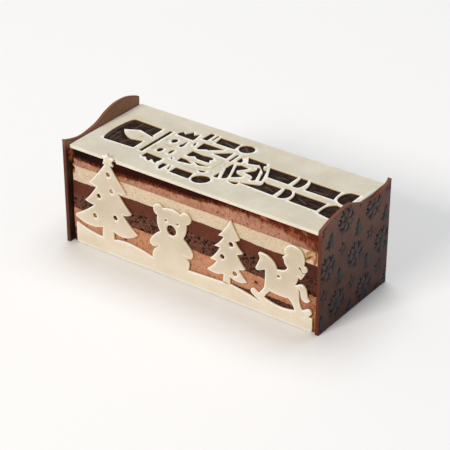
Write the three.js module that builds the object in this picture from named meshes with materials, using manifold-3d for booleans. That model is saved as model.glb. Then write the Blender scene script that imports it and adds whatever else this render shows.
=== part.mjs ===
// A layered yule log cake with straight cut sides: sponge, mousse, ganache and cream under a dark glaze,
// a white chocolate plate with a stencilled nutcracker on top, a white chocolate plaque of Christmas figures
// along the front, and a wavy-topped milk chocolate panel at each end.
// Millimetres. +X runs along the cake, -Y faces the plaque's side and +Z is up; the table is at z = 0.

import * as THREE from "three";
import { mergeVertices } from "three/addons/utils/BufferGeometryUtils.js";
import Module from "manifold-3d";

const wasm = await Module();
wasm.setup();

// Driving dimensions
const LENGTH = 200; // between the two end panels
const DEPTH = 77.7; // of the top plate, front to back
const TOP = 74; // upper face of the top plate
const PLATE_T = 2.2;
const PLAQUE_T = 1.5;
const PANEL_T = 2.8;
const PLAQUE_PROUD = 0.8; // how far the plaque's face stands in front of the plate's edge
const PLAQUE_LIFT = 0.8; // the plaque's lower edge above the table
const GLAZE_SUNK = 0.8; // how far the glaze stays below the plate's face inside the stencil
const GAP = 0.3; // between pieces that touch
const OVERRUN = 1; // how far a cutter or a joined piece runs past the face that it meets
const CURVE_STEPS = 6; // straight steps in each bend of an outline
const LAYER_STEPS = 40; // straight steps along each layer

const HALF = LENGTH / 2;
const PLAQUE_FACE = -DEPTH / 2 - PLAQUE_PROUD;
const CAKE_FRONT = PLAQUE_FACE + PLAQUE_T + GAP;
const CAKE_BACK = -CAKE_FRONT;
const CAKE_TOP = TOP - PLATE_T - GAP;

const { lerp, smoothstep } = THREE.MathUtils;

function matter(color, roughness) {
  return new THREE.MeshStandardMaterial({ color, roughness, metalness: 0 });
}

const whiteChocolate = matter(0xdfd5bd, 0.45);
const milkChocolate = matter(0x5a4037, 0.4);
const glazeMatter = matter(0x24130f, 0.15);
const spongeMatter = matter(0x4f3630, 0.95);
const mousseMatter = matter(0xbe8466, 0.7);
const ganacheMatter = matter(0x69402f, 0.6);
const creamMatter = matter(0xe3cba6, 0.7);

const cake = new THREE.Group();

// Solids

function toSolid(geometry) {
  geometry.deleteAttribute("normal");
  geometry.deleteAttribute("uv");
  const merged = mergeVertices(geometry);
  return new wasm.Manifold(new wasm.Mesh({
    numProp: 3,
    vertProperties: merged.attributes.position.array,
    triVerts: Uint32Array.from(merged.index.array),
  }));
}

function slab(shape, thickness, curveSegments = CURVE_STEPS) {
  return toSolid(new THREE.ExtrudeGeometry(shape, { depth: thickness, bevelEnabled: false, curveSegments }));
}

function join(solids) {
  return solids.reduce((whole, solid) => whole.add(solid));
}

function cut(solid, holes) {
  return solid.subtract(join(holes));
}

function place(name, solid, material) {
  const { vertProperties, triVerts } = solid.getMesh();
  const geometry = new THREE.BufferGeometry();
  geometry.setAttribute("position", new THREE.BufferAttribute(vertProperties, 3));
  geometry.setIndex(new THREE.BufferAttribute(triVerts, 1));
  geometry.computeVertexNormals();
  const mesh = new THREE.Mesh(geometry, material);
  mesh.name = name;
  cake.add(mesh);
  return mesh;
}

// Flat outlines

// A closed outline from a start point through steps: [x, y] is a straight one, [cx, cy, x, y] a bend pulled
// to cx, cy.
function outline(start, ...steps) {
  const shape = new THREE.Shape();
  shape.moveTo(...start);
  for (const step of steps) {
    if (step.length === 2) shape.lineTo(...step);
    else shape.quadraticCurveTo(...step);
  }
  return shape;
}

function disc(x, y, radius, tall = radius, turn = 0) {
  const shape = new THREE.Shape();
  shape.absellipse(x, y, radius, tall, 0, 2 * Math.PI, false, turn);
  return shape;
}

function box(x0, x1, y0, y1) {
  return outline([x0, y0], [x1, y0], [x1, y1], [x0, y1]);
}

// An outline drawn in by a distance, each corner along its mitre.
function inset(shape, distance) {
  const points = shape.getPoints(CURVE_STEPS);
  if (points[0].distanceTo(points.at(-1)) < 1e-6) points.pop();
  if (THREE.ShapeUtils.isClockWise(points)) points.reverse();
  const drawn = points.map((point, i) => {
    const before = point.clone().sub(points.at(i - 1)).normalize();
    const after = points[(i + 1) % points.length].clone().sub(point).normalize();
    const mitre = new THREE.Vector2(-before.y - after.y, before.x + after.x).normalize();
    const sine = Math.max(0.5, mitre.x * -after.y + mitre.y * after.x);
    return point.clone().addScaledVector(mitre, distance / sine);
  });
  return new THREE.Shape(drawn);
}

// One bough of a fir: its tip, the inner end of its underside, how far the underside sags, and how high its
// end is where it is blunt.
function bough(tip, root, sag, blunt = 0) {
  return { tip, root, sag, under: [tip[0], tip[1] - blunt] };
}

// A fir of stacked tiers, each a left and a right bough, from its tip down. The boughs' upper edges are hollow.
function fir({ tip, tiers, foot, hollow }) {
  const shape = new THREE.Shape();
  const middle = (from, to) => [(from[0] + to[0]) / 2, (from[1] + to[1]) / 2];
  const upperEdge = (from, to, side) => {
    const [x, y] = middle(from, to);
    shape.quadraticCurveTo(x + side * hollow, y - hollow, ...to);
  };
  const underside = (from, to, sag) => {
    const [x, y] = middle(from, to);
    shape.quadraticCurveTo(x, y - 2 * sag, ...to);
  };
  shape.moveTo(...tip);
  tiers.forEach(([left], i) => {
    upperEdge(i ? tiers[i - 1][0].root : tip, left.tip, 1);
    shape.lineTo(...left.under);
    underside(left.under, left.root, left.sag);
  });
  shape.lineTo(...foot[0]);
  shape.lineTo(...foot[1]);
  for (let i = tiers.length - 1; i >= 0; i--) {
    const right = tiers[i][1];
    shape.lineTo(...right.root);
    underside(right.root, right.under, right.sag);
    shape.lineTo(...right.tip);
    upperEdge(right.tip, i ? tiers[i - 1][1].root : tip, -1);
  }
  return shape;
}

// The layers, from the table up. Heights along a cut edge are given as [x, z] and eased from point to point.

function edge(...points) {
  return (x) => {
    const next = points.findIndex(([at]) => at > x);
    if (next === -1) return points.at(-1)[1];
    if (next === 0) return points[0][1];
    const [[x0, z0], [x1, z1]] = points.slice(next - 1, next + 1);
    return lerp(z0, z1, smoothstep(x, x0, x1));
  };
}

const level = (z) => ({ front: () => z, back: () => z });
const table = level(-GAP / 2);
const spongeTop = {
  front: edge([-90, 10.6], [38, 10.6], [60, 13.2], [90, 13.1]),
  back: edge([-90, 11.6], [0, 10.9], [90, 12.9]),
};
const mousseTop = {
  front: edge([-97, 25.8], [-70, 26.6], [0, 27.2], [60, 26.2], [97, 26.6]),
  back: edge([-80, 26.7], [10, 26.2], [90, 27.0]),
};
const crumbTop = {
  front: edge([-97, 37.2], [-60, 38.9], [0, 39.5], [60, 39.1], [97, 39.4]),
  back: edge([-90, 39.3], [0, 38.8], [90, 38.6]),
};
const ganacheTop = {
  front: edge([-97, 47.2], [-40, 48.2], [20, 49.7], [60, 48.4], [97, 49.2]),
  back: edge([-90, 49.0], [-10, 48.4], [80, 48.9]),
};
const creamTop = {
  front: edge([-97, 58.9], [-40, 59.0], [20, 59.1], [60, 58.8], [97, 58.4]),
  back: edge([-90, 58.6], [0, 59.2], [90, 58.8]),
};
const lightTop = {
  front: edge(
    [-97, 63.9], [-75, 63.2], [-60, 63.0], [-40, 63.9], [-20, 64.7], [0, 65.0], [10, 65.7],
    [22, 67.4], [32, 68.3], [50, 68.7], [62, 67.8], [80, 66.7], [97, 64.6],
  ),
  back: edge([-95, 66.0], [-60, 67.3], [-30, 66.2], [5, 67.6], [40, 66.6], [70, 68.0], [97, 66.4]),
};
const glazeTop = level(CAKE_TOP + GAP / 2);

// How far the front cut of each layer stops short of the left panel.
const RETREAT = { sponge: 0.5, mousse: 0.5, crumb: 0.5, ganache: 0.5, cream: 1, light: 2.2, glaze: 3.4 };

// A layer runs the whole way through, between its lower and its upper edges.
function layer(lower, upper, retreat) {
  const positions = [];
  const triangles = [];
  for (let i = 0; i <= LAYER_STEPS; i++) {
    const xBack = lerp(-HALF + GAP, HALF - GAP, i / LAYER_STEPS);
    const xFront = i ? xBack : -HALF + retreat;
    positions.push(xFront, CAKE_FRONT, lower.front(xFront) + GAP / 2);
    positions.push(xBack, CAKE_BACK, lower.back(xBack) + GAP / 2);
    positions.push(xBack, CAKE_BACK, upper.back(xBack) - GAP / 2);
    positions.push(xFront, CAKE_FRONT, upper.front(xFront) - GAP / 2);
  }
  for (let i = 0; i < LAYER_STEPS; i++) {
    for (let side = 0; side < 4; side++) {
      const [a, b] = [4 * i + side, 4 * i + ((side + 1) % 4)];
      // Upper and lower faces are split along the same diagonal, so that neighbours lie parallel.
      if (side === 0) triangles.push(a, b, a + 4, b, b + 4, a + 4);
      else triangles.push(a, b, b + 4, a, b + 4, a + 4);
    }
  }
  const end = 4 * LAYER_STEPS;
  triangles.push(0, 2, 1, 0, 3, 2, end, end + 1, end + 2, end, end + 2, end + 3);
  const geometry = new THREE.BufferGeometry();
  geometry.setAttribute("position", new THREE.Float32BufferAttribute(positions, 3));
  geometry.setIndex(triangles);
  return toSolid(geometry);
}

// The cream's front edge is torn out beside the right panel.
const TEAR = { at: [97.5, CAKE_FRONT, 54.5], reach: [5.5, 3, 3.4] };
const tear = toSolid(new THREE.SphereGeometry(1, 14, 9).scale(...TEAR.reach).translate(...TEAR.at));

// The nutcracker, lying along the plate with its hat at -X. Each entry is one opening of the stencil, on x
// and y.

const hat = [
  outline(
    [-86.8, -17.5], [-62.4, -16.6], [-62.7, -5.6], [-71.6, -8.0], [-79.2, -6.2, -84.4, 1.2], [-74.0, 6.4],
    [-60.8, 2.7], [-62.6, 4.6], [-62.8, 16.0], [-86.2, 17.0], [-88.2, 16.6, -89.0, 12.5],
    [-91.4, 0, -89.2, -12.5], [-88.4, -16.8, -86.8, -17.5],
  ),
  box(-56.7, -54.6, -17.3, 16.6),
];
const hair = [
  outline(
    [-50, 15.7], [-36.2, 15.1], [-36.5, 19.3], [-37.4, 24.2], [-39.6, 20.6], [-42.6, 24.7], [-45.6, 18.6],
    [-48.6, 21.2], [-50.2, 18.6],
  ),
  outline(
    [-50.2, -17.1], [-50.3, -22.5], [-49.5, -23.3], [-47.2, -22.3], [-44.6, -24.7], [-42.4, -25.7],
    [-42.3, -23.0], [-41.4, -22.8], [-38.6, -24.9], [-36.8, -25.7], [-37.5, -23.0], [-36.6, -22.0],
    [-36.7, -17.9],
  ),
];
const face = [
  disc(-45.6, 7.0, 2.0, 2.8),
  disc(-45.7, -8.8, 1.7, 2.9),
  outline([-37.7, 11.5], [-36.4, 4.7], [-36.5, 2.5], [-38.4, 2.3], [-39.2, 4.0, -38.8, 5.0], [-38.0, 7.0]),
  outline([-37.3, -3.4], [-36.9, -8.6], [-37.9, -10.6], [-39.3, -7.2, -38.6, -5]),
  outline([-32.3, 13.5], [-31.2, 12.1], [-30.7, 9.1], [-31.3, 8.6], [-32.4, 10.4]),
  outline([-33.1, -12.6], [-31.7, -13.6], [-31.3, -15.2], [-32.6, -14.4]),
];
const HAND_TURN = THREE.MathUtils.degToRad(36); // of the hands' ovals
const arms = [
  outline([-32.2, 20.2], [-28.5, 20.2], [-28.6, 29.6], [-30.2, 30.8, -31.8, 29.8]),
  outline([-32.4, -22.4], [-29.0, -22.6], [-29.4, -30.4], [-31, -30.2], [-32.4, -27.6]),
  outline([-25.9, 29.6], [-25.0, 29.8], [-25.0, 22.4], [-25.8, 22.2]),
  outline([-26.2, -22], [-25.2, -24.6], [-24.3, -27.9], [-25.5, -27.6]),
  outline([-22.6, 28.8], [-6.4, 28.6], [-6.2, 20.6], [-21.3, 20.6]),
  outline([-21.6, -22.5], [-8, -22.5], [-6.6, -30], [-21.8, -29.6]),
  disc(1.0, 25.3, 5.6, 5.3, HAND_TURN),
  disc(0.9, -26.1, 6.3, 5.0, HAND_TURN),
];
const jacket = [
  outline([-27.4, 16], [-10.8, 16], [-19.6, 9.2], [-20.4, 10.4, -23, 8.4], [-25.6, 6.6], [-27.1, 7.0]),
  outline([-3.2, 15.8], [-2.8, 6.6], [-13.6, 7.4]),
  outline(
    [-26.6, 2.4], [-22.0, 1.8], [-17.6, 1.3], [-13, 2.6, -9.8, 2.0], [-8.5, 0.1], [-10.0, -1.6],
    [-8.4, -4.8], [-18.3, -4.8], [-21.1, -2.8], [-24.6, -5], [-26.8, -4.8],
  ),
  outline([-27.2, -9.6], [-22.6, -9.8], [-16.6, -12.8], [-26.9, -14.8]),
  outline([-16.6, -9.4], [-5.0, -9.2], [-12.0, -11.8]),
  outline([-7.8, -17], [-2.8, -15.3], [-3.2, -17.6], [-5.4, -18.4]),
];
const belt = [
  outline([0.7, 4.5], [2.0, 4.5], [1.7, 15.4], [0.6, 15.2]),
  outline([5.2, 13.2], [6.8, 12.3], [8.4, 10.0], [8.4, 7.4], [5.6, 7.1]),
  outline([5.4, -11.4], [8.2, -18.2], [5.0, -18.2]),
  outline([5.6, 2.8], [6.5, 2.7], [11.6, -9.2], [13.1, -13.6], [12.8, -15.4], [10.6, -17.1], [5.2, -4.4]),
  outline(
    [8.8, 2.9], [11.3, 4.9], [17.3, 4.0], [16.6, 2.2], [12.6, -2.6], [14.0, -5.0], [15.8, -6.5],
    [20.6, -7.1], [18.5, -9.5], [14.9, -12.3], [12.5, -6.5],
  ),
  outline(
    [21.5, 7.6], [22.2, 8.4], [24.0, 8.3], [26.9, 1.5], [29.7, -6.2], [29.4, -7.2], [27.6, -8.4],
    [26.9, -5.6], [25.7, -3.9], [24.0, -2.9], [18.6, -1.9], [20.5, 0.5], [22.8, 3.6], [23.0, 5.6],
  ),
  outline(
    [8.8, 16.5], [23.5, 16.1], [24.9, 13.9], [23.6, 12.4], [24.9, 9.8], [27.1, 7.8], [28.8, 8.3],
    [32.6, -1.4], [33.7, -5.3], [32.5, -6.1], [30.2, -0.5], [28.5, 4.4], [25.2, 7.6], [20.5, 11.8],
    [13.1, 9.4],
  ),
  outline([16.6, -17.5], [23.0, -15.3], [23.4, -17.0], [22.9, -18.6], [20.6, -18.8]),
];
const legs = [
  outline([28.3, 13.2], [50.2, 12.8], [50.2, 1.4], [34.2, 1.6]),
  outline([52.6, 13.2], [58.0, 13.2], [60.4, 6.6, 58.2, 1.4], [56, 0.2, 53.9, 0.8], [54.2, 7.6, 52.6, 13.2]),
  outline([60.6, 12.6], [83.6, 12.4], [83.2, 6, 84.8, 1.4], [63.4, 1.4], [63.2, 7, 60.6, 12.6]),
  outline(
    [36.4, -4.7], [38.4, -5.7], [50.2, -5.8], [50.2, -16.2], [23.7, -15.1], [36.4, -10.4], [37.3, -8.7],
    [36.3, -6.0],
  ),
  outline(
    [52.2, -4.6], [54.2, -3.2, 56.6, -4.4], [60.0, -6.6, 59.9, -12.0], [59.0, -16.6, 54.1, -16.9],
    [54.2, -10, 52.2, -4.6],
  ),
  outline([60.0, -5.1], [84.2, -5.4], [83.4, -16.8], [62.8, -16.2], [63.4, -10, 60.0, -5.1]),
  outline([95.6, 15.8], [92, 16.0, 89.4, 15.0], [85.6, 12, 86.2, 5.2], [86.2, -0.4, 95.6, -1.2]),
  outline([95.8, -4.6], [90.6, -3.6], [84.6, -7.6, 86.5, -18.6], [95.8, -20.4]),
];
const stencil = [...hat, ...hair, ...face, ...arms, ...jacket, ...belt, ...legs];

// An opening's cut reaches further back and to the left than its outline, so that its wall there stands
// clear above the glaze.
const DRAWN_OUT = [-0.4, 0.56];

function drawnOut(shape, thickness) {
  const points = shape.getPoints(CURVE_STEPS);
  if (points[0].distanceTo(points.at(-1)) < 1e-6) points.pop();
  const moved = points.map((point) => point.clone().add(new THREE.Vector2(...DRAWN_OUT)));
  const swept = points.map((point, i) => {
    const next = (i + 1) % points.length;
    return [point, points[next], moved[next], moved[i]];
  });
  const wide = swept.filter((corners) => Math.abs(THREE.ShapeUtils.area(corners)) > 0.01);
  return join([points, moved, ...wide].map((corners) => slab(new THREE.Shape(corners), thickness)));
}

// The plate's front edge has a notch that the plaque's star stands in.
const NOTCH = { left: -71.6, right: -59.4, depth: 1.3 };

function topPlate() {
  const [x, y, r] = [HALF - GAP, DEPTH / 2, 1.6];
  const sheet = outline(
    [-x + r, -y], [NOTCH.left, -y], [NOTCH.left + 0.6, -y + NOTCH.depth], [NOTCH.right, -y + NOTCH.depth],
    [NOTCH.right, -y], [x, -y], [x, y], [-x + r, y], [-x, y, -x, y - r], [-x, -y + r], [-x, -y, -x + r, -y],
  );
  const cutters = stencil.map((opening) => drawnOut(opening, PLATE_T + 2 * OVERRUN));
  return cut(slab(sheet, PLATE_T), cutters.map((cutter) => cutter.translate([0, 0, -OVERRUN])));
}

// The glaze coats the cake's top and rises into the stencil's openings.
const RISEN_MIN_AREA = 6; // smaller openings stay empty

function glaze() {
  const rise = TOP - GLAZE_SUNK - CAKE_TOP;
  const risen = stencil
    .filter((opening) => Math.abs(THREE.ShapeUtils.area(opening.getPoints(CURVE_STEPS))) > RISEN_MIN_AREA)
    .map((opening) => drawnOut(inset(opening, GAP), rise + OVERRUN).translate([0, 0, CAKE_TOP - OVERRUN]));
  return join([layer(lightTop, glazeTop, RETREAT.glaze), ...risen]);
}

// The plaque's figures, on x and z.

const ground = outline(
  [-95.6, 15.4], [-95.4, 17.2, -93.6, 16.2], [-84, 12.2, -73, 12.0], [-61.7, 13.2], [-51, 16.8, -28.8, 11.0],
  [0.4, 11.3], [27.5, 12.6], [35, 13.1], [43, 12.0, 50, 10.6], [56.8, 8.9], [60, 9.2], [90.6, 9.2],
  [94.4, 11.7], [95.8, 10.5], [97.5, 11.0], [97.5, PLAQUE_LIFT + 1.2], [97.4, PLAQUE_LIFT, 96.2, PLAQUE_LIFT],
  [-94, PLAQUE_LIFT], [-95.5, PLAQUE_LIFT, -95.6, PLAQUE_LIFT + 1.5],
);

const tallFir = fir({
  tip: [-66.6, 72],
  tiers: [
    [bough([-82.9, 50.9], [-76.4, 49.8], 0.2), bough([-51.0, 51.6], [-58.3, 50.0], 0.7)],
    [bough([-87.1, 36.1], [-79.1, 34.7], 0.3), bough([-47.0, 37.4], [-55.2, 35.0], 1.1)],
    [bough([-95.6, 22.9], [-72.0, 19.7], 2.6, 2.2), bough([-42.0, 23.0], [-63.2, 19.4], 3.5)],
  ],
  foot: [[-73.2, 8], [-61.6, 8]],
  hollow: 0.8,
});
const treeStar = outline(
  [-66.0, 78.2], [-67.6, 75.2], [-71.2, 74.4], [-69.2, 72.0], [-70.5, 68.8], [-66.6, 69.6], [-61.4, 68.8],
  [-62.8, 71.8], [-60.7, 74.2], [-64.4, 75.2],
);
const TALL_FIR_HOLES = [[-66.1, 61.7], [-63.5, 49.9], [-74.9, 42.8], [-61.0, 30.5], [-78.8, 26.4]];

const smallFir = fir({
  tip: [34.3, 61.0],
  tiers: [
    [bough([24.6, 46.8], [28.9, 47.0], 0), bough([41.3, 48.4], [37.4, 46.6], 0.4)],
    [bough([21.1, 38.0], [25.8, 38.0], 0), bough([43.9, 39.4], [39.0, 37.3], 0.5)],
    [bough([17.8, 27.2], [23.3, 27.1], 0), bough([46.0, 28.3], [40.4, 26.6], 0.5)],
    [bough([15.2, 18.5], [28.8, 19.0], 1.3), bough([47.4, 19.0], [33.6, 18.8], 1.8)],
  ],
  foot: [[28.0, 10], [34.0, 10]],
  hollow: 0.8,
});
const SMALL_FIR_HOLES = [[34.5, 43.1], [27.6, 31.7], [37.7, 22.4]];

const teddy = [
  disc(-23.9, 49.2, 4.4),
  disc(-1.8, 49.5, 4.4),
  outline(
    [-22.6, 33.2], [-26.0, 38, -25.2, 43.6], [-24.4, 52.6, -13.2, 53.0], [-2.2, 52.6, -1.1, 43.8],
    [-1.0, 38.5, -4.4, 33.2],
  ),
  outline(
    [-28.4, 8], [-30.6, 13.0, -29.0, 16.6], [-27.6, 19.4, -24.4, 21.6], [-24.2, 22.4],
    [-26.4, 20.4, -28.6, 20.2], [-32.4, 20.4, -31.5, 24.2], [-29.0, 29.6, -22.6, 33.6], [-4.4, 34.0],
    [1.8, 29.2, 3.9, 25.0], [4.4, 20.9, 1.2, 20.3], [-1.4, 19.9, -3.8, 21.5], [-3.4, 20.6],
    [1.2, 18.4, 1.1, 16.4], [1.0, 13.0, -1.4, 8],
  ),
];
const TEDDY_EYES = [[-17.9, 43.3], [-8.4, 43.3]];
const TEDDY_NOSE = [-13.6, 37.0];

const ROCKER = { x: 73.8, z: 46.5, radius: 38.3, width: 4.6, left: -34, right: 33 };

function rocker() {
  const { x, z, radius, width, left, right } = ROCKER;
  const [from, to] = [left, right].map((angle) => THREE.MathUtils.degToRad(angle - 90));
  const band = new THREE.Shape();
  band.absarc(x, z, radius + width / 2, from, to);
  band.absarc(x, z, radius - width / 2, to, from, true);
  const ends = [from, to].map((a) => disc(x + radius * Math.cos(a), z + radius * Math.sin(a), width / 2));
  return [band, ...ends];
}

const horse = [
  outline(
    [57.2, 45.4], [63.2, 45.6, 66.6, 42.8], [69.8, 40, 70.2, 36.8], [70.9, 30.8], [83.6, 31.0], [86.2, 30.6],
    [87.4, 27, 87.2, 20.4], [88.2, 16.4, 89.6, 14.4], [90, 9], [84.6, 9], [84.4, 15, 79.4, 19.4],
    [72.4, 18.2, 65.5, 19.6], [62.2, 16.8, 60.4, 12.8], [58, 9], [55.6, 13.6], [58.4, 17.4, 60.6, 20.6],
    [60.9, 22.8], [61.4, 29, 61.2, 34.2], [58.4, 32.8, 55.6, 31.6], [53.6, 31.8, 53.8, 33.6],
    [55.4, 36.6, 56.9, 40.6], [57.0, 42.6, 55.7, 43.9], [55.8, 45.4, 57.2, 45.4],
  ),
  outline(
    [84.6, 30.4], [87, 33.2, 90, 32.9], [92.8, 31.6, 93.1, 27.4], [93.4, 23.4, 95.6, 23.4],
    [94.6, 20.8, 91.8, 20.8], [88.2, 21.6, 88.4, 26], [88.2, 28.6, 84.6, 30.4],
  ),
  ...rocker(),
];

// The rider is a plain child's outline in a bobble hat.
const rider = [
  outline(
    [74.0, 47.9], [75.8, 49.4, 76.8, 51.0], [75.2, 52.4, 75.4, 53.6], [77.2, 58.9, 82.4, 58.9],
    [88.4, 58.6, 90.2, 53.6], [91.0, 50, 90.2, 46.2], [87.6, 42.9], [89.6, 40.9], [91.3, 40.9], [88.4, 36.2],
    [86.9, 36.6, 85.9, 38.2], [86.6, 34.6, 84.2, 31.4], [84, 28], [68, 29], [68, 37.2], [70.1, 37.2],
    [73, 37.6, 75.9, 38.7], [77, 39.6, 78.2, 41.6], [75.6, 43.2, 75.4, 46.2], [74.8, 47.2, 74.0, 47.9],
  ),
  disc(90.6, 44.4, 2.4),
];

// Small openings beside the rider's hand and beside the bobble.
const crook = outline([70.4, 34.1], [73.4, 32.8], [70.4, 31.3]);
const bobbleGap = outline([86.0, 44.2], [87.5, 45.4], [88.8, 43.4], [89.8, 41.2], [87.2, 43.0]);

const BAUBLE_HOLE = 1.9;
const EYE_HOLE = 1;
const NOSE_HOLE = 4;

function frontPlaque() {
  const figures = [ground, tallFir, treeStar, ...teddy, smallFir, ...horse, ...rider];
  const holes = [
    ...[...TALL_FIR_HOLES, ...SMALL_FIR_HOLES].map(([x, z]) => disc(x, z, BAUBLE_HOLE)),
    ...TEDDY_EYES.map(([x, z]) => disc(x, z, EYE_HOLE)),
    disc(...TEDDY_NOSE, NOSE_HOLE),
    crook,
    bobbleGap,
  ];
  const upright = (shape) => slab(shape, PLAQUE_T);
  return cut(join(figures.map(upright)), holes.map(upright));
}

// The end panels are one kind of wavy-topped piece, turned round for the other end. Each is cut and trimmed
// a little differently. On y and z, the low end is at +Y and the crest near -Y.

const BLANK = { front: -44, back: 46, top: 100 }; // a panel before its upright edges are trimmed
const LEAN = { from: TOP + 4, by: 2 }; // above this height the back edge leans inward
const WAVE_STEPS = 4; // straight steps between two points of a wave

const RIGHT_WAVE = [
  [BLANK.back, 81], [42, 77.2], [37, 74.2], [24, 72], [15, 73], [7.5, 74.9], [-6, 80.3], [-13, 80.9],
  [-30, 78.5], [BLANK.front, 73.5],
];
const LEFT_WAVE = [
  [BLANK.back, 80.3], [40, 77.7], [33, 75.6], [25, 74.4], [16, 75.4], [7, 77.6], [-1.5, 81.5],
  [-10, 84.1], [-18, 84.6], [-28, 83.4], [BLANK.front, 77.4],
];

// The trim is given by the back and front edges' distances from the middle, high up and at the foot.
function endPanel(crest, { low, lowFoot, high, highFoot }) {
  const wave = new THREE.Shape();
  wave.moveTo(BLANK.front, 0);
  wave.lineTo(BLANK.back, 0);
  wave.lineTo(...crest[0]);
  wave.splineThru(crest.slice(1).map(([y, z]) => new THREE.Vector2(y, z)));
  const trim = outline(
    [-highFoot, 0], [lowFoot, 0], [low, LEAN.from], [low - LEAN.by, BLANK.top], [-high, BLANK.top],
  );
  const upright = new THREE.Matrix4().makeBasis(
    new THREE.Vector3(0, 1, 0), new THREE.Vector3(0, 0, 1), new THREE.Vector3(1, 0, 0),
  );
  const solid = slab(wave, PANEL_T, WAVE_STEPS).intersect(slab(trim, PANEL_T));
  return solid.transform(upright.toArray());
}

// The whole cake

place("sponge_base", layer(table, spongeTop, RETREAT.sponge), spongeMatter);
place("mousse_milk", layer(spongeTop, mousseTop, RETREAT.mousse), mousseMatter);
place("sponge_middle", layer(mousseTop, crumbTop, RETREAT.crumb), spongeMatter);
place("ganache", layer(crumbTop, ganacheTop, RETREAT.ganache), ganacheMatter);
place("cream_vanilla", layer(ganacheTop, creamTop, RETREAT.cream).subtract(tear), creamMatter);
place("mousse_top", layer(creamTop, lightTop, RETREAT.light), mousseMatter);
place("glaze", glaze(), glazeMatter);

const plate = place("plate_top", topPlate(), whiteChocolate);
plate.position.z = TOP - PLATE_T;

const plaque = place("plaque_front", frontPlaque(), whiteChocolate);
plaque.rotation.x = Math.PI / 2;
plaque.position.y = PLAQUE_FACE + PLAQUE_T;

const RIGHT_TRIM = { low: 42.2, lowFoot: 41.4, high: 38.7, highFoot: 39.9 };
const right = place("panel_right", endPanel(RIGHT_WAVE, RIGHT_TRIM), milkChocolate);
right.position.x = HALF;

const LEFT_TRIM = { low: 42.2, lowFoot: 42.2, high: 37.4, highFoot: 37.8 };
const left = place("panel_left", endPanel(LEFT_WAVE, LEFT_TRIM), milkChocolate);
left.position.x = -HALF;
left.rotation.z = Math.PI;

export default cake;
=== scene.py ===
# Looks of the yule log cake: seven cut layers, a stencilled white chocolate plate on the glaze, a cut-out
# white chocolate plaque along the front, and two printed milk chocolate end panels.
# Lengths are in millimetres and become metres where a mesh is made.
import math

import bpy
import numpy as np
from mathutils import Matrix, Vector, kdtree
from mathutils.geometry import delaunay_2d_cdt


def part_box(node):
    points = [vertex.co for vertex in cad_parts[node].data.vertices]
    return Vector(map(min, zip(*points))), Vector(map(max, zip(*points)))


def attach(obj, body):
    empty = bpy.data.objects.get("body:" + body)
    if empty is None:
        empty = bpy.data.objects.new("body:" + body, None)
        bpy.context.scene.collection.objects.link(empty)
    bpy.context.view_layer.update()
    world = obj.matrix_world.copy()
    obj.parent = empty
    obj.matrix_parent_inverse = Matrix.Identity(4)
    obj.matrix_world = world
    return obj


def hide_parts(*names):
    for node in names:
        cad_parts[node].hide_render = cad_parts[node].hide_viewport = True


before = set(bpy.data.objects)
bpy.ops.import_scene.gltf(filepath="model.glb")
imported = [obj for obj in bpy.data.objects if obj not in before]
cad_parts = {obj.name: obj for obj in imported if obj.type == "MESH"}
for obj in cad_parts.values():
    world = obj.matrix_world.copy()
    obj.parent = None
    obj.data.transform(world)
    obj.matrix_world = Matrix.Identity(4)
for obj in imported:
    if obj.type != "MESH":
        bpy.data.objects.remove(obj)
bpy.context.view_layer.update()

MM = 0.001
OUTLINE_STEP = 0.35  # between points of an outline
OUTLINE_EASE = 0.3  # how far a corner of an outline is softened
OUTLINE_WOBBLE = 0.06
WOBBLE_LENGTH = 2.0  # over which an outline's wobble changes
EASE_PARTS = 70  # the easing is at most an outline's length over this
WOBBLE_PARTS = 300  # and the wobble at most its length over this
BEND_ROOM = 0.6  # the share of a bend's radius that an outline may move inward
GAP_ROOM = 0.42  # the share of the way to another stretch that it may
OUTLINE_CLEAR = 0.3  # from an outline to the extra points inside it
GRID_CLEAR = 0.45  # from a sheet's even grid to its other points, as a share of the grid's step
RIM = 0.35  # radius of a chocolate sheet's rounded edge
RIM_STEPS = 3
GUARD = 0.45  # flat band inside the rim that keeps its shading off the face
WALL_TOP = 0.7  # depths on a sheet's edge between which its foot begins
WALL_FOOT = 0.95
COLUMN_STEP = 0.45  # between the columns of a cut face
ROWS = 22  # on each cut face of a layer
SEAM_GAP = 0.02
HALF_GAP = 0.15  # half the gap between two layers' solids
PAD_MIN_AREA = 6  # smaller openings of the plate stay empty, mm2
PAD_GAP = 0.05  # between the glaze and an opening's wall


# Repeatable unevenness


def chance(column, row, seed):
    """A repeatable number from 0 to 1 for each whole-numbered cell."""
    mixed = np.sin(column * 127.1 + row * 311.7 + seed * 74.7) * 43758.5453
    return mixed - np.floor(mixed)


def ripple(x, y, size, seed):
    """Smooth bumps about size across, from -1 to 1."""
    x, y = np.broadcast_arrays(np.asarray(x, float) / size, np.asarray(y, float) / size)
    column = np.floor(x)
    row = np.floor(y)
    fx = x - column
    fy = y - row
    fx = fx * fx * (3 - 2 * fx)
    fy = fy * fy * (3 - 2 * fy)
    low = chance(column, row, seed) * (1 - fx) + chance(column + 1, row, seed) * fx
    high = chance(column, row + 1, seed) * (1 - fx) + chance(column + 1, row + 1, seed) * fx
    return 2 * (low * (1 - fy) + high * fy) - 1


def cloud(x, y, size, seed):
    """Three ripples, each half the size of the last, from about -1 to 1."""
    total = 0
    for k in range(3):
        total = total + ripple(x, y, size / 2**k, seed + 17 * k) / 2**k
    return total / 1.5


def soft_step(value, low, high):
    """0 below low, 1 above high, eased between."""
    t = np.clip((value - low) / (high - low), 0, 1)
    return t * t * (3 - 2 * t)


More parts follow.
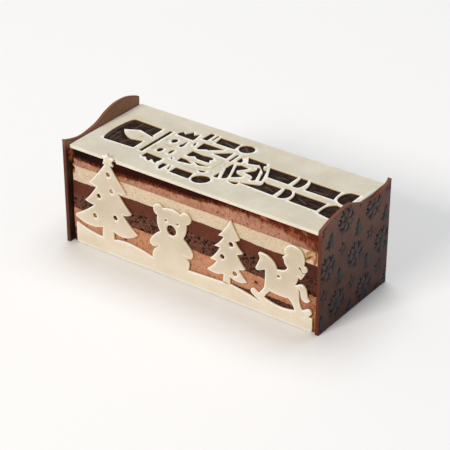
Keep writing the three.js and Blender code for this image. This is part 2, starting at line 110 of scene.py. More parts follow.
def near_stroke(x, y, stroke):
    """1 on a stroke from (x0, y0) to (x1, y1), fading to 0 over its width."""
    x0, y0, x1, y1, width = stroke
    along = ((x - x0) * (x1 - x0) + (y - y0) * (y1 - y0)) / max((x1 - x0) ** 2 + (y1 - y0) ** 2, 1e-6)
    along = np.clip(along, 0, 1)
    away = np.hypot(x - x0 - along * (x1 - x0), y - y0 - along * (y1 - y0))
    return np.exp(-((away / width) ** 2))


def near_strokes(x, y, strokes):
    """The strongest of several strokes at each point, 0 where there are none."""
    strength = np.zeros_like(x)
    for stroke in strokes:
        strength = np.maximum(strength, near_stroke(x, y, stroke))
    return strength


# Outlines read from the frame


def box_of(node):
    """A CAD node's lowest and highest corner."""
    return np.array(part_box(node)) / MM


class Side:
    """A flat face of a CAD solid with its own across and up directions. Depth goes into the solid."""

    def __init__(self, node, across, up):
        self.node = node
        self.across = np.array(across, float)
        self.up = np.array(up, float)
        self.out = np.cross(self.across, self.up)
        reach = sorted(box_of(node) @ self.out)
        self.level = reach[1]
        self.thickness = reach[1] - reach[0]

    def flat(self, points):
        return np.column_stack([points @ self.across, points @ self.up])

    def solid(self, flat, depth):
        height = np.broadcast_to(self.level - depth, len(flat))
        return flat[:, :1] * self.across + flat[:, 1:] * self.up + height[:, None] * self.out


def welded(node):
    """A CAD node's corners, each once, and its triangles."""
    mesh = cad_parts[node].data
    mesh.calc_loop_triangles()
    corners = np.array([vertex.co for vertex in mesh.vertices]) / MM
    triangles = np.array([triangle.vertices for triangle in mesh.loop_triangles])
    points, index = np.unique(corners.round(4), axis=0, return_inverse=True)
    return points, index.reshape(-1)[triangles]


def face_loops(side):
    """The outlines of a side, with the material on their left: the outer one and one for each opening."""
    points, triangles = welded(side.node)
    on_face = (np.abs(points @ side.out - side.level) < 0.01)[triangles].all(axis=1)
    edges = [(t[k], t[(k + 1) % 3]) for t in triangles[on_face] for k in range(3)]
    known = set(edges)
    following = {}
    for a, b in edges:
        if (b, a) not in known:
            following.setdefault(a, []).append(b)
    flat = side.flat(points)
    loops = []
    while following:
        start = next(iter(following))
        loop = [start]
        at = leave(following, start, start, flat)
        while at != start:
            loop.append(at)
            at = leave(following, loop[-2], at, flat)
        loops.append(flat[loop])
    return sorted(loops, key=lambda loop: -abs(area(loop)))


def leave(following, before, corner, flat):
    """Takes the next corner of an outline. Where two outlines touch, it is the one furthest to the left."""
    choices = following[corner]
    back = math.atan2(*(flat[before] - flat[corner])[::-1])
    turns = [(back - math.atan2(*(flat[c] - flat[corner])[::-1])) % (2 * math.pi) for c in choices]
    chosen = choices.pop(int(np.argmin(turns)))
    if not choices:
        del following[corner]
    return chosen


def area(loop):
    x, y = loop.T
    return 0.5 * np.sum(x * np.roll(y, -1) - y * np.roll(x, -1))


def evened(loop):
    """The same closed outline with points at even distances."""
    closed = np.vstack([loop, loop[:1]])
    along = np.concatenate([[0], np.cumsum(np.hypot(*np.diff(closed, axis=0).T))])
    count = max(12, round(along[-1] / OUTLINE_STEP))
    at = np.arange(count) * along[-1] / count
    return np.column_stack([np.interp(at, along, closed[:, k]) for k in (0, 1)])


def eased(values, reach):
    """Values round a closed outline, averaged over about reach points to each side."""
    waves = np.fft.rfftfreq(len(values))
    bell = np.exp(-2 * (math.pi * waves * reach) ** 2)
    return np.fft.irfft(np.fft.rfft(values, axis=0) * bell[:, None], len(values), axis=0)


def leftward(loop):
    """Directions square to the outline, into the material."""
    ahead = np.roll(loop, -1, axis=0) - np.roll(loop, 1, axis=0)
    ahead /= np.maximum(np.hypot(*ahead.T), 1e-9)[:, None]
    return np.column_stack([-ahead[:, 1], ahead[:, 0]])


def hand_cut(loop, seed):
    """An outline with softened corners and an edge that isn't quite even, less so on a small one."""
    even = evened(loop)
    around = np.hypot(*(even - np.roll(even, 1, axis=0)).T).sum()
    fine = eased(even, min(OUTLINE_EASE, around / EASE_PARTS) * len(even) / around)
    draw = np.random.default_rng(seed)
    wobble = eased(draw.normal(size=(len(fine), 1)), WOBBLE_LENGTH / OUTLINE_STEP)
    wobble /= max(np.abs(wobble).max(), 1e-9)
    return fine + leftward(fine) * wobble * min(OUTLINE_WOBBLE, around / WOBBLE_PARTS)


def tree_of(points):
    """A search tree of points on a plane."""
    tree = kdtree.KDTree(len(points))
    for k, point in enumerate(points):
        tree.insert((*point, 0), k)
    tree.balance()
    return tree


def room_inward(loops, most):
    """For each point of each outline, how far it can move into the material without crossing anything.

    It is less than the radius of a bend, and less than half the way to another outline or to another stretch
    of the same one. Points that are close along the outline don't count as another stretch.
    """
    owner = np.repeat(np.arange(len(loops)), [len(loop) for loop in loops])
    place = np.concatenate([np.arange(len(loop)) for loop in loops])
    tree = tree_of(np.vstack(loops))
    rooms = []
    for number, loop in enumerate(loops):
        before = loop - np.roll(loop, 1, axis=0)
        after = np.roll(loop, -1, axis=0) - loop
        lengths = np.hypot(*before.T) * np.hypot(*after.T)
        bend = (before[:, 0] * after[:, 1] - before[:, 1] * after[:, 0]) / lengths**1.5
        room = np.minimum(most, BEND_ROOM / np.maximum(bend, 1e-3))
        for k, point in enumerate(loop):
            for _, other, distance in tree.find_range((*point, 0), 2.4 * most):
                apart = abs(place[other] - k)
                apart = min(apart, len(loop) - apart) * OUTLINE_STEP
                if owner[other] != number or apart > 2.5 * distance + 4 * OUTLINE_STEP:
                    room[k] = min(room[k], GAP_ROOM * distance)
        room = np.min([np.roll(room, k) for k in range(-2, 3)], axis=0)
        rooms.append(eased(room[:, None], 1.5)[:, 0])
    return rooms


def inside(points, loops):
    """Whether each point lies in the area that the outlines bound, outside its openings."""
    start = np.vstack(loops)
    end = np.vstack([np.roll(loop, -1, axis=0) for loop in loops])
    rise = end[:, 1] - start[:, 1]
    rise = np.where(np.abs(rise) < 1e-12, 1e-12, rise)
    found = np.zeros(len(points), bool)
    chunk = 2000
    for first in range(0, len(points), chunk):
        x, y = points[first : first + chunk].T[:, :, None]
        crosses = (start[:, 1] > y) != (end[:, 1] > y)
        at = start[:, 0] + (y - start[:, 1]) * (end[:, 0] - start[:, 0]) / rise
        found[first : first + chunk] = (crosses & (x < at)).sum(axis=1) % 2 == 1
    return found


def scattered(loops, step, seed):
    """Points a step apart, slightly out of line, over the whole rectangle that the outlines reach."""
    everything = np.vstack(loops)
    low = everything.min(axis=0)
    high = everything.max(axis=0)
    points = lattice(low, high, step)
    draw = np.random.default_rng(seed)
    return points + draw.uniform(-0.3, 0.3, points.shape) * step


def lattice(low, high, step):
    """Points a step apart over a rectangle."""
    columns, rows = np.meshgrid(np.arange(low[0], high[0], step), np.arange(low[1], high[1], step))
    return np.column_stack([columns.ravel(), rows.ravel()])


def clear_of(points, others, distance):
    """The points that are at least a distance from all others."""
    tree = tree_of(others)
    keep = [tree.find((*point, 0))[2] >= distance for point in points]
    return points[keep]


def fill(loops, loose):
    """Triangles over the area within the outlines. Points are the outlines', then the loose ones."""
    points = np.vstack([*loops, loose]) if len(loose) else np.vstack(loops)
    edges = []
    first = 0
    for loop in loops:
        edges += [(first + k, first + (k + 1) % len(loop)) for k in range(len(loop))]
        first += len(loop)
    found, _, faces, origin, _, _ = delaunay_2d_cdt([Vector(p) for p in points], edges, [], 1, 1e-6)
    original = np.array([o[0] if o else -1 for o in origin])
    placed = np.array([tuple(p) for p in found])
    added = np.flatnonzero(original < 0)
    original[added] = len(points) + np.arange(len(added))
    points = np.vstack([points, placed[added]]) if len(added) else points
    triangles = original[np.array(faces)]
    middles = points[triangles].mean(axis=1)
    triangles = triangles[inside(middles, loops)]
    a, b, c = (points[triangles[:, k]] for k in range(3))
    turned = np.cross(b - a, c - a) < 0
    triangles[turned] = triangles[turned][:, ::-1]
    return points, triangles


# Meshes


def plain_object(name, points, faces):
    mesh = bpy.data.meshes.new(name)
    mesh.from_pydata((points * MM).tolist(), [], faces)
    made = bpy.data.objects.new(name, mesh)
    bpy.context.scene.collection.objects.link(made)
    return made


def piece(name, points, faces, material, stands_for=None, marks=None):
    """A smooth-shaded mesh of the cake. marks are named values, one for each point."""
    made = plain_object(name, points, faces)
    made.data.shade_smooth()
    for mark, values in (marks or {}).items():
        layer = made.data.attributes.new(mark, "FLOAT", "POINT")
        layer.data.foreach_set("value", np.asarray(values, np.float32))
    made.data.materials.append(material)
    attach(made, "root")
    if stands_for:
        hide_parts(stands_for)


def sheet_mesh(side, loops, relief, tint_and_painted_light, seed, outer_rim=1.0, face_rim=0.0, grid=1.8, dense=None):
    """A closed chocolate sheet with rounded rims. relief gives how far each point of its face is sunk.

    Its edge gets a painted highlight on the rim, the caller's tan painted shade and yellow painted glow on
    the wall, and painted shade at the foot of its openings: the marks rim, wall and foot. The function for
    the edge's painted light takes the outlines' outward directions and whether each point is on an opening.
    outer_rim is how strong the outer outline's painted highlight is, and face_rim how much of that reaches
    the flat band's inner line. dense are extra points for the face.
    """
    thickness = side.thickness
    rooms = room_inward(loops, RIM + GUARD)
    bends = [k * math.pi / 2 / RIM_STEPS for k in range(RIM_STEPS + 1)]
    rim_share = RIM / (RIM + GUARD)
    inner = [loop + leftward(loop) * room[:, None] for loop, room in zip(loops, rooms)]
    around = np.vstack(inner)
    loose = clear_of(scattered(inner, grid, seed), around, GRID_CLEAR * grid)
    if dense is not None:
        loose = clear_of(loose, dense, GRID_CLEAR * grid)
        loose = np.vstack([loose, clear_of(dense, around, OUTLINE_CLEAR)])
    loose = loose[inside(loose, inner)]
    flat, cap = fill(inner, loose)
    ring_sizes = [len(loop) for loop in loops]
    ring_count = sum(ring_sizes)
    count = len(flat)
    radii = np.concatenate(rooms) * rim_share
    of_opening = np.arange(ring_count) >= ring_sizes[0]
    # Painted light on the edge: the caller's tan painted shade and glow on the walls, and a painted
    # highlight on the rim elsewhere.
    painted_edge_light = tint_and_painted_light(-np.vstack([leftward(loop) for loop in loops]), of_opening)
    rim_highlight = np.where(of_opening, 1, outer_rim) * (1 - painted_edge_light)
    near_rim = np.zeros(count)
    near_rim[:ring_count] = face_rim * rim_highlight
    # A ring: how much of the room it moves inward, how deep it lies, how far on the wall and foot it is.
    turned = [(rim_share * (1 - math.sin(bend)), 1 - math.cos(bend)) for bend in bends]
    rings = [(inward, lambda sunk, d=drop: sunk + d * radii, drop, 0) for inward, drop in turned]
    for level, foot in ((WALL_TOP, 0), (WALL_FOOT, 1)):
        rings.append((0, lambda sunk, d=level: np.maximum(d, sunk + radii + 0.1 * d), 1, foot))
    back_rings = [(inward, lambda sunk, d=drop: thickness - d * radii, 1, 1) for inward, drop in turned]
    points = [side.solid(flat, relief(*flat.T))]
    marks = [np.column_stack([near_rim, np.zeros(count), np.zeros(count)])]
    faces = cap.tolist()
    previous = np.arange(ring_count)
    total = count
    for inward, depth, wall, foot in rings + back_rings[::-1]:
        moved = [loop + leftward(loop) * room[:, None] * inward for loop, room in zip(loops, rooms)]
        moved = np.vstack(moved)
        points.append(side.solid(moved, depth(relief(*moved.T))))
        marks.append(np.column_stack([rim_highlight, wall * painted_edge_light, foot * of_opening]))
        now = total + np.arange(ring_count)
        faces.extend(bands(previous, now, ring_sizes))
        previous = now
        total += ring_count
    points.append(side.solid(flat, thickness))
    marks.append(np.zeros((count, 3)))
    faces.extend(bands(previous, total + np.arange(ring_count), ring_sizes))
    faces.extend((cap[:, ::-1] + total).tolist())
    return np.vstack(points), faces, dict(zip(("rim", "wall", "foot"), np.vstack(marks).T))


def bands(upper, lower, sizes):
    """Quads between two sets of rings, the second further from the face."""
    faces = []
    first = 0
    for size in sizes:
        for k in range(size):
            a = first + k
            b = first + (k + 1) % size
            faces.append((upper[b], upper[a], lower[a], lower[b]))
        first += size
    return faces


# Materials


def linear(code):
    """A colour written as six hex digits of sRGB, as the linear colour that a shader takes."""
    parts = [int(code[k : k + 2], 16) / 255 for k in (0, 2, 4)]
    return [*[p / 12.92 if p <= 0.04045 else ((p + 0.055) / 1.055) ** 2.4 for p in parts], 1.0]


class Paint:
    """A material under construction. Places are in millimetres on the object."""

    def __init__(self, name, **constants):
        self.material = bpy.data.materials.new(name)
        self.material.use_nodes = True
        self.tree = self.material.node_tree
        self.shader = self.tree.nodes["Principled BSDF"]
        for socket, value in constants.items():
            self.shader.inputs[socket.replace("_", " ")].default_value = value
        inputs = {0: self.tree.nodes.new("ShaderNodeTexCoord").outputs["Object"], 1: (1000, 1000, 1000)}
        self.place = self.node("ShaderNodeVectorMath", inputs, operation="MULTIPLY")
        self.color = None

    def node(self, kind, inputs, output=0, **settings):
        made = self.tree.nodes.new(kind)
        for setting, value in settings.items():
            setattr(made, setting, value)
        for socket, value in inputs.items():
            if isinstance(value, bpy.types.NodeSocket):
                self.tree.links.new(value, made.inputs[socket])
            else:
                made.inputs[socket].default_value = value
        return made.outputs[output]

    def noise(self, size, detail=2.0, stretch=(1, 1, 1), shift=0.0, roughness=0.5):
        """Soft blotches about size across, from 0 to 1, longer where stretch is more than 1."""
        place = self.scaled([size * part for part in stretch], shift)
        inputs = {"Vector": place, "Scale": 1.0, "Detail": detail, "Roughness": roughness}
        return self.node("ShaderNodeTexNoise", inputs)

    def cells(self, size, shift=0.0):
        """The distance from the middle of each cell, 0 at the middle."""
        inputs = {"Vector": self.scaled([size] * 3, shift), "Scale": 1.0}
        return self.node("ShaderNodeTexVoronoi", inputs)

    def scaled(self, sizes, shift):
        """Places counted in sizes, moved by shift."""
        scale = tuple(1 / size for size in sizes)
        inputs = {"Vector": self.place, "Location": (shift,) * 3, "Scale": scale}
        return self.node("ShaderNodeMapping", inputs)

    def spread(self, value, low, high, start=0.0, end=1.0):
        """Takes low to start and high to end."""
        inputs = {"Value": value, "From Min": low, "From Max": high, "To Min": start, "To Max": end}
        return self.node("ShaderNodeMapRange", inputs)

    def product(self, first, second):
        return self.node("ShaderNodeMath", {0: first, 1: second}, operation="MULTIPLY")

    def coat(self, where, color, share=None):
        """Lays a colour over the one so far, where the factor is high, times a share if one is given."""
        if share is not None:
            where = self.product(where, share)
        self.color = self.mix(where, self.color, color)

    def mix(self, factor, first, second):
        """The first colour where the factor is 0, the second where it is 1."""
        first, second = (linear(c) if isinstance(c, str) else c for c in (first, second))
        made = self.tree.nodes.new("ShaderNodeMix")
        made.data_type = "RGBA"
        for socket, value in ((0, factor), (6, first), (7, second)):
            if isinstance(value, bpy.types.NodeSocket):
                self.tree.links.new(value, made.inputs[socket])
            else:
                made.inputs[socket].default_value = value
        return made.outputs[2]

    def mark(self, name):
        """A named value of the mesh's points."""
        return self.node("ShaderNodeAttribute", {}, output="Fac", attribute_name=name)

    def axis(self, name):
        return self.node("ShaderNodeSeparateXYZ", {0: self.place}, output=name)

    def finish(self, roughness=None, height=None, depth=0):
        """Joins up the shader. height is a relief from 0 to 1, depth its size."""
        self.tree.links.new(self.color, self.shader.inputs["Base Color"])
        if roughness is not None:
            self.tree.links.new(roughness, self.shader.inputs["Roughness"])
        if height is not None:
            bump = self.node("ShaderNodeBump", {"Height": height, "Distance": depth * MM, "Strength": 1.0})
            self.tree.links.new(bump, self.shader.inputs["Normal"])
        return self.material


def white_chocolate():
    paint = Paint(
        "white_chocolate",
        Specular_IOR_Level=0.35,
        Subsurface_Weight=0.35,
        Subsurface_Scale=1.5 * MM,
        Subsurface_Radius=(1.0, 0.75, 0.4),
    )
    clouded = paint.spread(paint.noise(16, detail=3, shift=3), 0.35, 0.65)
    fine = paint.noise(2.6, detail=3, shift=9)
    on_plate = paint.spread(paint.axis("Z"), 70.5, 71.5)
    # Painted light: the plaque is lighter low down and darker up its figures, and the plate's face is a
    # greyer copy of the same chocolate.
    low = paint.mix(clouded, "dbcfb9", "e2d7c4")
    high = paint.mix(clouded, "c4b7a0", "ccc1ad")
    paint.color = paint.mix(paint.spread(paint.axis("Z"), 10, 34), low, high)
    paint.coat(on_plate, paint.mix(clouded, "d3cbb7", "ddd6c4"))
    paint.coat(paint.spread(fine, 0.5, 0.75, 0, 0.35), "d0c3a6")
    # Painted highlight on the rounded rims.
    paint.coat(paint.mark("rim"), "fffaf0", 0.95)
    # Painted light on the walls: yellow painted glow on the plaque's, tan painted shade on the plate's.
    paint.coat(paint.mark("wall"), paint.mix(on_plate, "fbe2a8", "d2ad6a"), 0.9)
    # Painted shade at the foot of the openings' walls, next to the glaze.
    paint.coat(paint.mark("foot"), "2e120a", 0.95)
    paint.coat(paint.mark("dent"), "b5a16c", 0.85)
    paint.coat(paint.mark("crack"), "3b2216")
    roughness = paint.spread(paint.noise(5, detail=3, shift=21), 0.3, 0.7, 0.36, 0.5)
    return paint.finish(roughness, paint.noise(1.1, detail=4, shift=5), depth=0.035)


def milk_chocolate():
    paint = Paint("milk_chocolate", Specular_IOR_Level=0.1)
    broad = paint.noise(22, detail=3, shift=4)
    fine = paint.noise(1.8, detail=4, shift=14)
    upper = paint.spread(paint.axis("Z"), 70, 76)
    left = paint.spread(paint.axis("X"), 0, -50)
    paint.color = paint.mix(paint.spread(broad, 0.3, 0.7), "694235", "7a5041")
    # Painted light: darker towards the bottom, and lighter over the left panel.
    paint.coat(paint.spread(paint.axis("Z"), 74, 32, 0, 0.8), "3f1b0d")
    paint.coat(left, "9e745b", 0.85)
    paint.coat(paint.spread(fine, 0.5, 0.8, 0, 0.4), "4e2e22")
    # Low on the left panel, the band in front of the cake gets painted shade.
    painted_gap_shade = paint.product(paint.spread(upper, 1, 0), paint.spread(paint.axis("Y"), -33, -36))
    paint.coat(painted_gap_shade, "200c07", paint.product(left, 0.9))
    paint.coat(paint.mark("smear"), "e0844f")
    # The edges' colour carries painted light as well: lighter near the top.
    edge_color = paint.mix(upper, paint.mix(left, "5a2e1e", "5c342a"), "774a38")
    paint.coat(paint.mark("wall"), edge_color, 0.9)
    roughness = paint.spread(paint.noise(9, detail=3, shift=31), 0.3, 0.7, 0.3, 0.46)
    return paint.finish(roughness, paint.noise(3.2, detail=3, shift=8), depth=0.06)


def print_ink():
    paint = Paint("print_ink", Specular_IOR_Level=0.2)
    paint.color = paint.mix(paint.noise(1.2, detail=3, shift=2), "06090e", "11161f")
    roughness = paint.spread(paint.noise(3, shift=6), 0.3, 0.7, 0.4, 0.55)
    return paint.finish(roughness, paint.noise(0.8, detail=3), depth=0.02)


def glaze_gloss():
    """The glaze's free surface, in the stencil's openings."""
    paint = Paint("glaze_gloss", Specular_IOR_Level=0.12, Coat_Weight=0.08, Coat_Roughness=0.06)
    # The lighter stretched patches are painted sheen on the dark glaze.
    clouded = paint.spread(paint.noise(3.0, detail=2, stretch=(1.7, 1, 1), shift=2), 0.42, 0.66)
    paint.color = paint.mix(clouded, "1e0c07", "40281f")
    # Painted shade on the glaze beside the walls.
    paint.coat(paint.mark("edge_shade"), "0c0302")
    # Painted highlight along the raised lines.
    paint.coat(paint.mark("ridge_highlight"), "66524a", 0.8)
    roughness = paint.spread(paint.noise(3, detail=2, shift=12), 0.3, 0.7, 0.14, 0.3)
    return paint.finish(roughness, paint.noise(2.4, detail=2), depth=0.1)


def glaze_cut():
    """The glaze's cut sides: nearly black above, redder and streaked where it meets the mousse."""
    paint = Paint("glaze_cut", Specular_IOR_Level=0.03)
    streaks = paint.spread(paint.noise(0.9, detail=3, stretch=(1, 1, 4), shift=7), 0.4, 0.7)
    seam = paint.spread(paint.mark("above"), 2.6, 0.4)
    ragged = paint.spread(paint.noise(1.3, detail=3, stretch=(1, 1, 3), shift=3), 0.35, 0.65)
    paint.color = paint.mix(streaks, "220703", "361109")
    paint.coat(paint.spread(paint.axis("X"), 30, 90, 0, 0.8), "5c2613")
    paint.coat(paint.spread(paint.axis("X"), -68, -90, 0, 0.85), "140a0b")
    paint.coat(seam, "854029", ragged)
    paint.coat(paint.mark("smear"), "98583f")
    return paint.finish(paint.spread(streaks, 0, 1, 0.4, 0.6), streaks, depth=0.1)


def mousse(name, light, main, deep, shift):
    paint = Paint(name, Specular_IOR_Level=0.12)
    broad = paint.noise(13, detail=3, shift=shift)
    grain = paint.noise(1.2, detail=4, stretch=(1, 1, 1.5), shift=shift + 3, roughness=0.65)
    drag = paint.noise(1.6, detail=4, stretch=(1, 1, 2), shift=1)
    pores = paint.spread(paint.cells(2.6, shift=shift), 0.2, 0.12)
    sparse = paint.spread(paint.noise(3.1, shift=shift + 8), 0.52, 0.6)
    paint.color = paint.mix(paint.spread(broad, 0.35, 0.65), main, light)
    paint.coat(paint.spread(grain, 0.5, 0.64, 0, 0.9), deep)
    paint.coat(paint.spread(grain, 0.46, 0.34, 0, 0.7), light)
    paint.coat(paint.spread(paint.axis("X"), 45, 100, 0, 0.35), deep)
    paint.coat(pores, "5e2f20", sparse)
    paint.coat(paint.mark("smear"), paint.mix(paint.spread(drag, 0.4, 0.6), "54200f", "8c4e32"))
    # Painted shade in the pits.
    paint.coat(paint.mark("pit"), "32130b")
    return paint.finish(paint.spread(grain, 0.3, 0.7, 0.5, 0.7), grain, depth=0.22)


def sponge(name, shift):
    paint = Paint(name, Specular_IOR_Level=0.08, Roughness=0.9)
    broad = paint.noise(7, detail=3, shift=shift)
    crumbs = paint.noise(1.2, detail=4, shift=shift + 2, roughness=0.7)
    holes = paint.noise(1.1, detail=3, shift=shift + 5)
    paint.color = paint.mix(paint.spread(broad, 0.35, 0.65, 0, 0.6), "633f33", "4b2c22")
    paint.coat(paint.spread(crumbs, 0.48, 0.64, 0, 0.5), "8e6655")
    paint.coat(paint.spread(paint.axis("X"), 40, 95, 0, 0.6), "43210f")
    paint.coat(paint.spread(holes, 0.4, 0.34, 0, 0.4), "2a150f")
    paint.coat(paint.spread(paint.cells(2.8, shift=shift + 1), 0.22, 0.16), "120806")
    paint.coat(paint.mark("smear"), "b06a3c")
    # Painted shade in the pits.
    paint.coat(paint.mark("pit"), "1e0d08")
    return paint.finish(None, crumbs, depth=0.25)


def ganache_material():
    paint = Paint("ganache", Specular_IOR_Level=0.14)
    broad = paint.noise(10, detail=3, shift=12)
    scratches = paint.noise(0.9, detail=4, stretch=(1, 1, 6), shift=2)
    specks = paint.spread(paint.cells(2.2, shift=4), 0.2, 0.1)
    sparse = paint.spread(paint.noise(2.7, shift=18), 0.5, 0.6)
    paint.color = paint.mix(paint.spread(broad, 0.3, 0.7), "4f2312", "5e2f1c")
    paint.coat(paint.spread(scratches, 0.46, 0.62, 0, 0.3), "744026")
    paint.coat(paint.spread(scratches, 0.44, 0.34, 0, 0.3), "42190a")
    # Painted shade at the right end.
    paint.coat(paint.spread(paint.axis("X"), 78, 98, 0, 0.7), "30100a")
    paint.coat(specks, "2c130b", sparse)
    # Painted shade in the pits.
    paint.coat(paint.mark("pit"), "2c140c")
    return paint.finish(paint.spread(scratches, 0.3, 0.7, 0.42, 0.6), scratches, depth=0.08)


def cream_material():
    paint = Paint("cream", Specular_IOR_Level=0.15)
    broad = paint.noise(11, detail=3, shift=5)
    sand = paint.noise(1.1, detail=4, shift=15, roughness=0.6)
    specks = paint.spread(paint.cells(1.6, shift=7), 0.22, 0.12)
    sparse = paint.spread(paint.noise(2.4, detail=2, shift=28), 0.48, 0.58)
    paint.color = paint.mix(paint.spread(broad, 0.3, 0.7), "c8b498", "d2c0a7")
    paint.coat(paint.spread(sand, 0.5, 0.68, 0, 0.6), "bfa27c")
    paint.coat(paint.spread(sand, 0.46, 0.32, 0, 0.6), "e0d2bb")
    paint.coat(specks, "8a5a34", sparse)
    paint.coat(paint.spread(paint.mark("tear"), 0, 0.5, 0, 0.9), "c98f58")
    # Above half, the tear mark is mostly painted shadow in the tear and painted shade in the notch.
    paint.coat(paint.spread(paint.mark("tear"), 0.5, 1), "74340f")
    # Painted shade in the pits.
    paint.coat(paint.mark("pit"), "8f6038")
    return paint.finish(paint.spread(sand, 0.3, 0.7, 0.5, 0.7), sand, depth=0.14)


# Layers

STACK = ["sponge_base", "mousse_milk", "sponge_middle", "ganache", "cream_vanilla", "mousse_top", "glaze"]
END = box_of("sponge_base")[1, 0]  # the layers' right end
PANEL_INNER = box_of("panel_right")[0, 0]
CUT = box_of("sponge_base")[1, 1]  # the cut faces stand this far in front and behind
PLATE_UNDERSIDE = box_of("plate_top")[0, 2]
COLUMNS = np.linspace(-END, END, round(2 * END / COLUMN_STEP) + 1)
RETREAT_EASE = 8  # length over which a layer's front cut comes back to the panel's square
CORNER = 1.2  # rounding of a layer's left front corner
SEAM_DIP = 0.1  # how far a layer's face draws back at its seams
SEAM_DIP_REACH = 0.4


def cut_edge(node, front, upper):
    """The height of a layer's edge along one cut face, at each column."""
    points, _ = welded(node)
    plane = -CUT if front else CUT
    on_cut = points[np.abs(points[:, 1] - plane) < 0.01]
    stations = np.unique(on_cut[:, 0])
    pick = np.max if upper else np.min
    heights = [pick(on_cut[on_cut[:, 0] == x, 2]) for x in stations]
    return np.interp(COLUMNS, stations, heights)


def seam(lower_node, upper_node, front):
    """The height between two layers along one cut face. The torn cream's own edges aren't read."""
    if upper_node == "cream_vanilla":
        return cut_edge(lower_node, front, upper=True) + HALF_GAP
    return cut_edge(upper_node, front, upper=False) - HALF_GAP


RAGGED = {  # how uneven the top seam of each layer is, and over what length
    "sponge_base": (0.35, 1.6),
    "mousse_milk": (0.3, 1.8),
    "sponge_middle": (0.35, 1.5),
    "ganache": (0.22, 2.4),
    "cream_vanilla": (0.2, 3.0),
    "mousse_top": (0.55, 1.3),
}
# How far the base's front edge rises behind the plaque: x, then height.
SPONGE_RISE = ([22, 30, 37, 48, 60, 74, 86], [0, 1.2, 2.5, 1.6, 0.8, 1.0, 0])


def seams(front):
    """Heights of all seams along one cut face, from the table to the plate."""
    found = [np.zeros(len(COLUMNS))]
    for number, (lower, upper) in enumerate(zip(STACK, STACK[1:])):
        swing, length = RAGGED[lower]
        seed = 40 + number + (0 if front else 20)
        uneven = swing * cloud(COLUMNS, 0.5, length, seed) + 0.25 * ripple(COLUMNS, 0.5, 9, seed + 5)
        if front and lower == "sponge_base":
            uneven = uneven + np.interp(COLUMNS, *SPONGE_RISE)
        found.append(seam(lower, upper, front) + uneven)
    found.append(np.full(len(COLUMNS), PLATE_UNDERSIDE - SEAM_GAP))
    return found


def pits(x, z, count, small, large, seed):
    """Scattered pits on a cut face: how deep each point lies, and how far down its pit it is, 0 to 1."""
    draw = np.random.default_rng(seed)
    depth = np.zeros_like(x)
    share = np.zeros_like(x)
    columns = x.mean(axis=1)
    low, high = z.min(), z.max()
    for _ in range(count):
        at_x = draw.uniform(columns[0], columns[-1])
        at_z = draw.uniform(low, high)
        radius = small + (large - small) * draw.random() ** 2.2
        wide = draw.uniform(0.8, 1.5)
        sink = draw.uniform(0.5, 1.0) * radius
        first, last = np.searchsorted(columns, [at_x - radius * wide, at_x + radius * wide])
        part = slice(first, last)
        away = ((x[part] - at_x) / wide) ** 2 + (z[part] - at_z) ** 2
        hollow = np.sqrt(np.clip(1 - away / radius**2, 0, 1))
        depth[part] = np.maximum(depth[part], sink * hollow)
        share[part] = np.maximum(share[part], hollow)
    return depth, share


def hollows(x, z, places):
    """Single pores, given by place and radius: how deep each point lies, and how far down, 0 to 1."""
    share = np.zeros_like(x)
    depth = np.zeros_like(x)
    for at_x, at_z, radius in places:
        away = np.hypot(x - at_x, (z - at_z) * 1.2) / radius
        hollow = np.sqrt(np.clip(1 - away**2, 0, 1))
        share = np.maximum(share, hollow)
        depth = np.maximum(depth, radius * hollow)
    return depth, share


def sponge_relief(x, z, below, seed):
    depth, share = pits(x, z, 620, 0.35, 1.3, seed)
    out = 0.12 * cloud(x, z, 2.4, seed) + 0.1 * ripple(x, z, 0.9, seed + 3) - 0.75 * depth
    return out, {"pit": soft_step(share, 0.3, 1.0), "smear": np.zeros_like(x)}


def sponge_base_front_relief(x, z, below, seed):
    """The base's front cut. Its right end is smeared with mousse, which fills most of its pores there."""
    out, marks = sponge_relief(x, z, below, seed)
    smeared = soft_step(x, 95.4, 96.4) * (0.5 + 0.5 * soft_step(cloud(x, z, 2.2, 94), -0.5, 0.3))
    marks["smear"] = smeared
    marks["pit"] = marks["pit"] * (1 - 0.8 * smeared)
    return out, marks


def mousse_relief(x, z, below, seed):
    depth, share = pits(x, z, 40, 0.3, 0.6, seed)
    out = 0.1 * cloud(x, z, 7, seed) + 0.05 * ripple(x, z, 1.1, seed + 2) - 0.8 * depth
    return out, {"pit": 0.85 * soft_step(share, 0.2, 0.9), "smear": np.zeros_like(x)}


LOW_PORES = [(-54.5, 15.3, 1.0), (18.0, 17.0, 1.1), (53.0, 20.5, 1.4)]
LOW_CRACKS = [(96.8, 20.6, 98.6, 19.4, 0.35), (95.8, 14.4, 97.4, 12.8, 0.4)]
HIGH_PORES = [(22.5, 62.0, 0.8), (70.0, 62.6, 0.6)]
# How far the glaze is dragged down over the mousse: x, then length.
SMEAR_REACH = ([-100, -96, 10, 40, 70, 88, 95, 100], [2.0, 0.3, 0.3, 0.9, 2.1, 3.2, 5.8, 7.5])


def mousse_low_front_relief(x, z, below, seed):
    out, marks = mousse_relief(x, z, below, seed)
    depth, share = hollows(x, z, LOW_PORES)
    crack = near_strokes(x, z, LOW_CRACKS)
    # The pores and cracks get painted shade through the pit mark.
    marks["pit"] = np.maximum.reduce([marks["pit"], soft_step(share, 0, 0.7), 0.8 * crack])
    marks["smear"] = 0.7 * soft_step(x, 86, 95) * soft_step(cloud(x / 2, z, 1.5, 84), -0.3, 0.6)
    return out - np.maximum(depth, 0.4 * crack), marks


def ganache_relief(x, z, below, seed):
    depth, share = pits(x, z, 50, 0.3, 0.7, seed)
    out = 0.1 * cloud(x, z, 8, seed) + 0.06 * ripple(x, z / 4, 0.8, seed + 2) - 0.7 * depth
    return out, {"pit": soft_step(share, 0.2, 0.9)}


